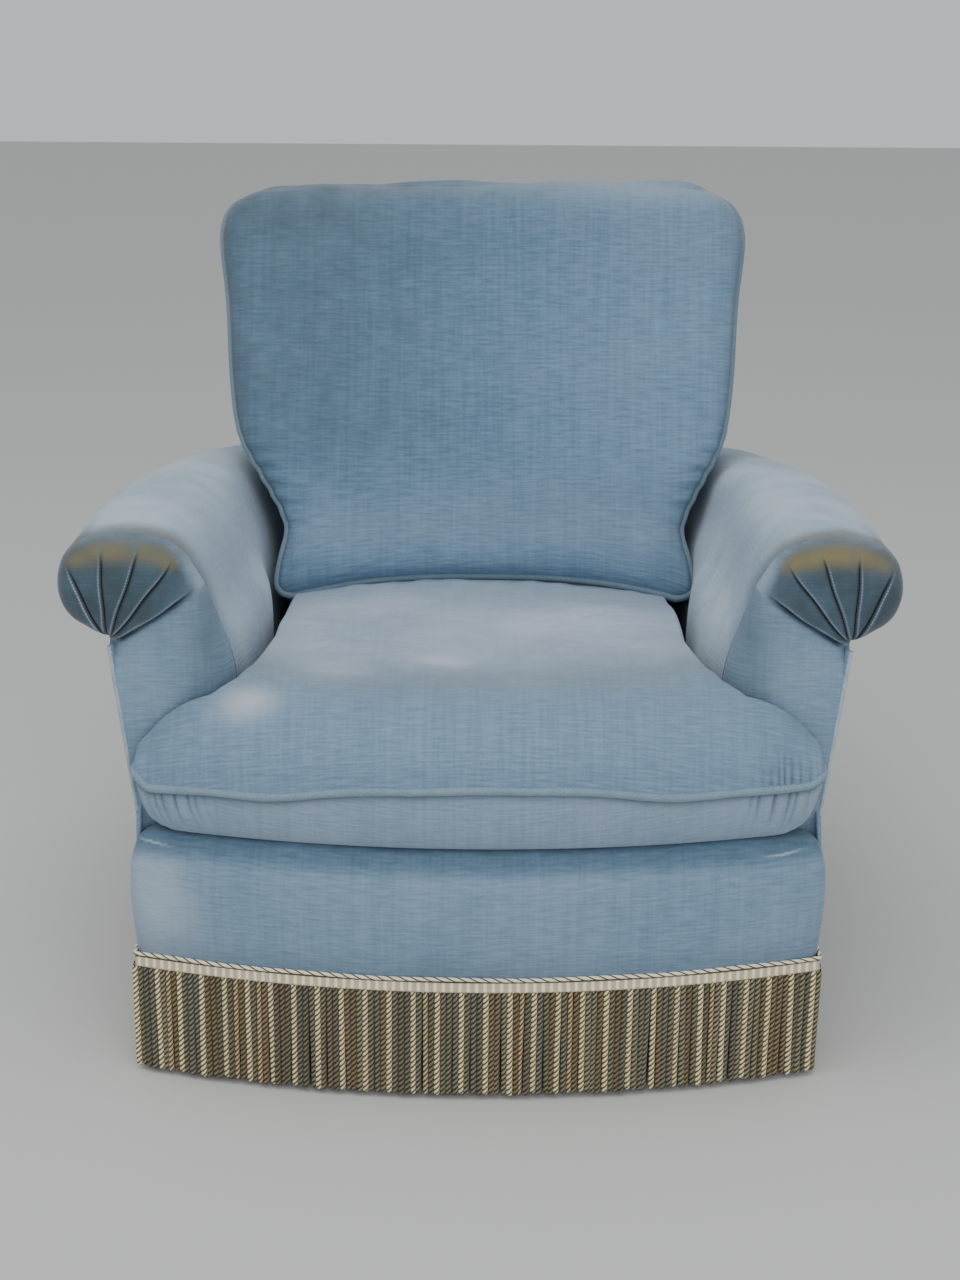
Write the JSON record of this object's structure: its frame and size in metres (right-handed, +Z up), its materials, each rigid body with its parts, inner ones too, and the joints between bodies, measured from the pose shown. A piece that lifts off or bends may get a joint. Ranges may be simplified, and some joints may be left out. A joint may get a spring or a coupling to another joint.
{
  "type": "armchair",
  "caption": "Old upholstered easy chair with low scroll arms, loose seat and back cushions and a bullion fringe down to the floor, for one person to sit in.",
  "frame": {"origin": "on the floor, at the centre of the chair's width and depth", "axes": "+Z is up, the chair faces -Y, and X is across it, its line of symmetry"},
  "size_m": [0.866, 0.88, 0.88],
  "materials": {
    "velvet": "dusty blue cotton velvet with a ribbed nap, faded on the arm tops and soiled where hands rest",
    "worn_velvet": "the same velvet with its pile worn down and greyed by sitting",
    "piping": "bias-cut velvet over a round cord, rubbed pale along its crest",
    "fringe": "twisted rayon bullion cords in olive, brown and cream under a woven heading",
    "beech": "plain sawn beech, unfinished",
    "stained_wood": "turned beech with a dark stain",
    "jute": "plain woven jute",
    "spring_steel": "drawn steel wire, dull",
    "deck_cloth": "plain lining cloth over padding",
    "black_lining": "thin black dust cloth"
  },
  "bodies": {
    "root": {"front_rail": "beech", "rear_rail": "beech", "back_lower_rail": "beech", "back_top_rail": "beech", "left_side_rail": "beech", "right_side_rail": "beech", "left_rear_post": "beech", "right_rear_post": "beech", "left_front_post": "beech", "right_front_post": "beech", "left_arm_rail": "beech", "right_arm_rail": "beech", "left_facing_board": "beech", "right_facing_board": "beech", "left_front_corner_block": "beech", "left_rear_corner_block": "beech", "right_front_corner_block": "beech", "right_rear_corner_block": "beech", "left_front_foot": "stained_wood", "left_rear_foot": "stained_wood", "right_front_foot": "stained_wood", "right_rear_foot": "stained_wood", "seat_webbing": "jute", "seat_spring_1": "spring_steel", "seat_spring_2": "spring_steel", "seat_spring_3": "spring_steel", "seat_spring_4": "spring_steel", "seat_spring_5": "spring_steel", "seat_spring_6": "spring_steel", "seat_spring_7": "spring_steel", "seat_spring_8": "spring_steel", "seat_spring_9": "spring_steel", "spring_hessian": "jute", "back_webbing": "jute", "bottom_lining": "black_lining", "seat_deck": "deck_cloth", "left_arm": "velvet", "right_arm": "velvet", "left_arm_front": "velvet", "right_arm_front": "velvet", "left_outside_arm": "velvet", "right_outside_arm": "velvet", "inside_back": "velvet", "outside_back": "velvet", "base_front": "velvet", "seat_cushion": "worn_velvet", "back_cushion": "velvet", "seat_welt": "piping", "back_welt": "piping", "front_fringe": "fringe", "back_fringe": "fringe", "left_fringe": "fringe", "right_fringe": "fringe"}
  },
  "joints": []
}
